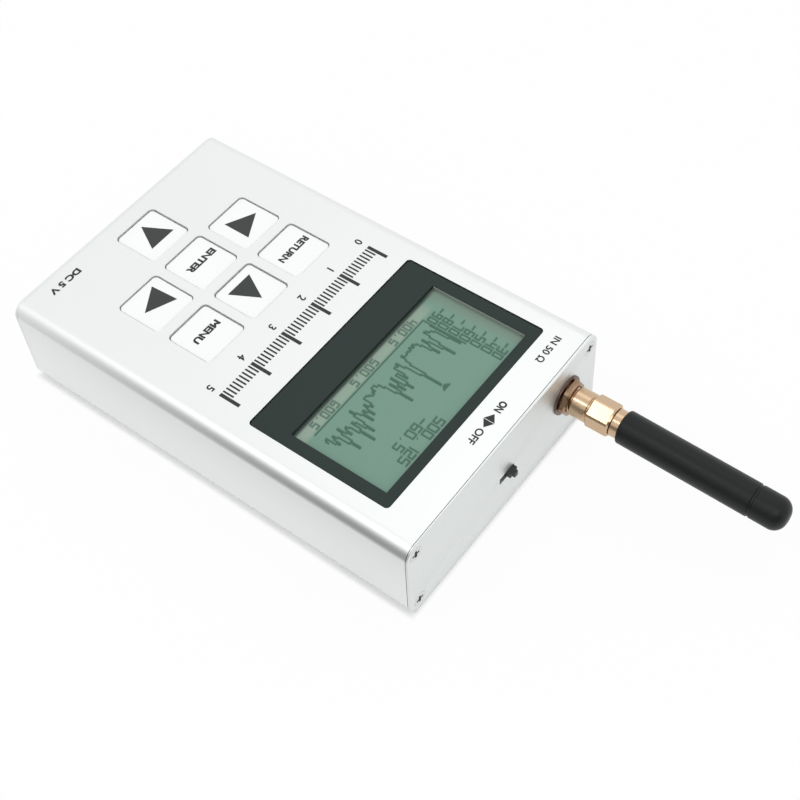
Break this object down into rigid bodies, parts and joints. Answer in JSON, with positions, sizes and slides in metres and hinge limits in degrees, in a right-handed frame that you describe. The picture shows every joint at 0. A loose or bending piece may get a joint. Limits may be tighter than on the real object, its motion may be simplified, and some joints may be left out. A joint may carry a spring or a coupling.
{
  "type": "handheld spectrum analyzer",
  "caption": "Slim aluminium handheld radio meter with a display, a cross of square keys, a slide switch and a screw-on whip antenna.",
  "frame": {"origin": "middle of the back face, on the plane that the analyzer lies on", "axes": "+X to the right across the front as it is read, +Y towards the antenna end, +Z out of the front face"},
  "size_m": [0.07, 0.168, 0.025],
  "materials": {
    "satin_aluminium": "satin anodised",
    "screw_steel": "zinc plated, satin",
    "display_frame": "satin black-green print",
    "display_glass": "grey-green liquid crystal film on glass",
    "light_guide": "clear polished",
    "board_laminate": "green solder mask",
    "black_plastic": "moulded black",
    "key_plastic": "white moulded, fine satin",
    "sheet_steel": "tinned sheet",
    "spacer_brass": "turned brass",
    "gilt_brass": "pale gold plated",
    "insulator": "white fluoropolymer",
    "sleeve_rubber": "moulded black, matte",
    "coil_copper": "drawn copper wire",
    "lamp_lens": "clear moulded lens",
    "battery_foil": "laminated foil pouch",
    "foam": "closed cell foam",
    "lead_red": "red insulation",
    "lead_black": "black insulation",
    "connector_white": "white nylon"
  },
  "bodies": {
    "case": {"front_shell": "satin_aluminium", "back_cover": "satin_aluminium", "antenna_end_plate": "satin_aluminium", "socket_end_plate": "satin_aluminium", "antenna_end_screws": "screw_steel", "socket_end_screws": "screw_steel", "display_screws": "screw_steel", "display_bezel": "display_frame", "display_glass": "display_glass", "display_backlight": "light_guide", "main_board": "board_laminate", "display_board": "board_laminate", "display_header": "black_plastic", "push_switch_bodies": "black_plastic", "data_socket_insert": "black_plastic", "processor_chip": "black_plastic", "interface_chip": "black_plastic", "radio_shield_can": "sheet_steel", "crystal_can": "sheet_steel", "slide_switch_body": "sheet_steel", "data_socket_shell": "sheet_steel", "display_spacers": "spacer_brass", "antenna_socket": "gilt_brass", "lock_washer": "gilt_brass", "panel_nut": "gilt_brass", "socket_contact": "gilt_brass", "socket_insulator": "insulator", "charge_lamp": "lamp_lens", "battery": "battery_foil", "battery_pad": "foam", "battery_lead_plus": "lead_red", "battery_lead_minus": "lead_black", "battery_plug": "connector_white", "battery_socket": "connector_white"},
    "return_key": {"key_return": "key_plastic", "plunger_return": "black_plastic"},
    "up_key": {"key_up": "key_plastic", "plunger_up": "black_plastic"},
    "menu_key": {"key_menu": "key_plastic", "plunger_menu": "black_plastic"},
    "left_key": {"key_left": "key_plastic", "plunger_left": "black_plastic"},
    "enter_key": {"key_enter": "key_plastic", "plunger_enter": "black_plastic"},
    "right_key": {"key_right": "key_plastic", "plunger_right": "black_plastic"},
    "down_key": {"key_down": "key_plastic", "plunger_down": "black_plastic"},
    "power_lever": {"slide_switch_lever": "black_plastic"},
    "antenna": {"antenna_plug": "gilt_brass", "plug_insulator": "insulator", "plug_pin": "gilt_brass", "crimp_ring": "gilt_brass", "antenna_coil": "coil_copper", "antenna_sleeve": "sleeve_rubber"},
    "antenna_nut": {"coupling_nut": "gilt_brass"}
  },
  "joints": [
    {"name": "return_press", "type": "slide", "parent": "case", "child": "return_key", "axis": [0, 0, -1], "range_m": [0, 0.0003], "stiffness_N_per_m": 4000},
    {"name": "up_press", "type": "slide", "parent": "case", "child": "up_key", "axis": [0, 0, -1], "range_m": [0, 0.0003], "stiffness_N_per_m": 4000},
    {"name": "menu_press", "type": "slide", "parent": "case", "child": "menu_key", "axis": [0, 0, -1], "range_m": [0, 0.0003], "stiffness_N_per_m": 4000},
    {"name": "left_press", "type": "slide", "parent": "case", "child": "left_key", "axis": [0, 0, -1], "range_m": [0, 0.0003], "stiffness_N_per_m": 4000},
    {"name": "enter_press", "type": "slide", "parent": "case", "child": "enter_key", "axis": [0, 0, -1], "range_m": [0, 0.0003], "stiffness_N_per_m": 4000},
    {"name": "right_press", "type": "slide", "parent": "case", "child": "right_key", "axis": [0, 0, -1], "range_m": [0, 0.0003], "stiffness_N_per_m": 4000},
    {"name": "down_press", "type": "slide", "parent": "case", "child": "down_key", "axis": [0, 0, -1], "range_m": [0, 0.0003], "stiffness_N_per_m": 4000},
    {"name": "power_slide", "type": "slide", "parent": "case", "child": "power_lever", "axis": [1, 0, 0], "range_m": [0, 0.0024]},
    {"name": "antenna_draw", "type": "slide", "parent": "case", "child": "antenna", "axis": [0, 1, 0], "range_m": [0, 0.00493]},
    {"name": "antenna_nut_turn", "type": "hinge", "parent": "antenna", "child": "antenna_nut", "pos_m": [-0.0229, 0.065, 0.01459], "axis": [0, 1, 0], "range_deg": [0, 2520]}
  ],
  "couplings": [
    {"joint": "antenna_nut_turn", "follows": "antenna_draw", "rad_per_m": 8905.3}
  ]
}
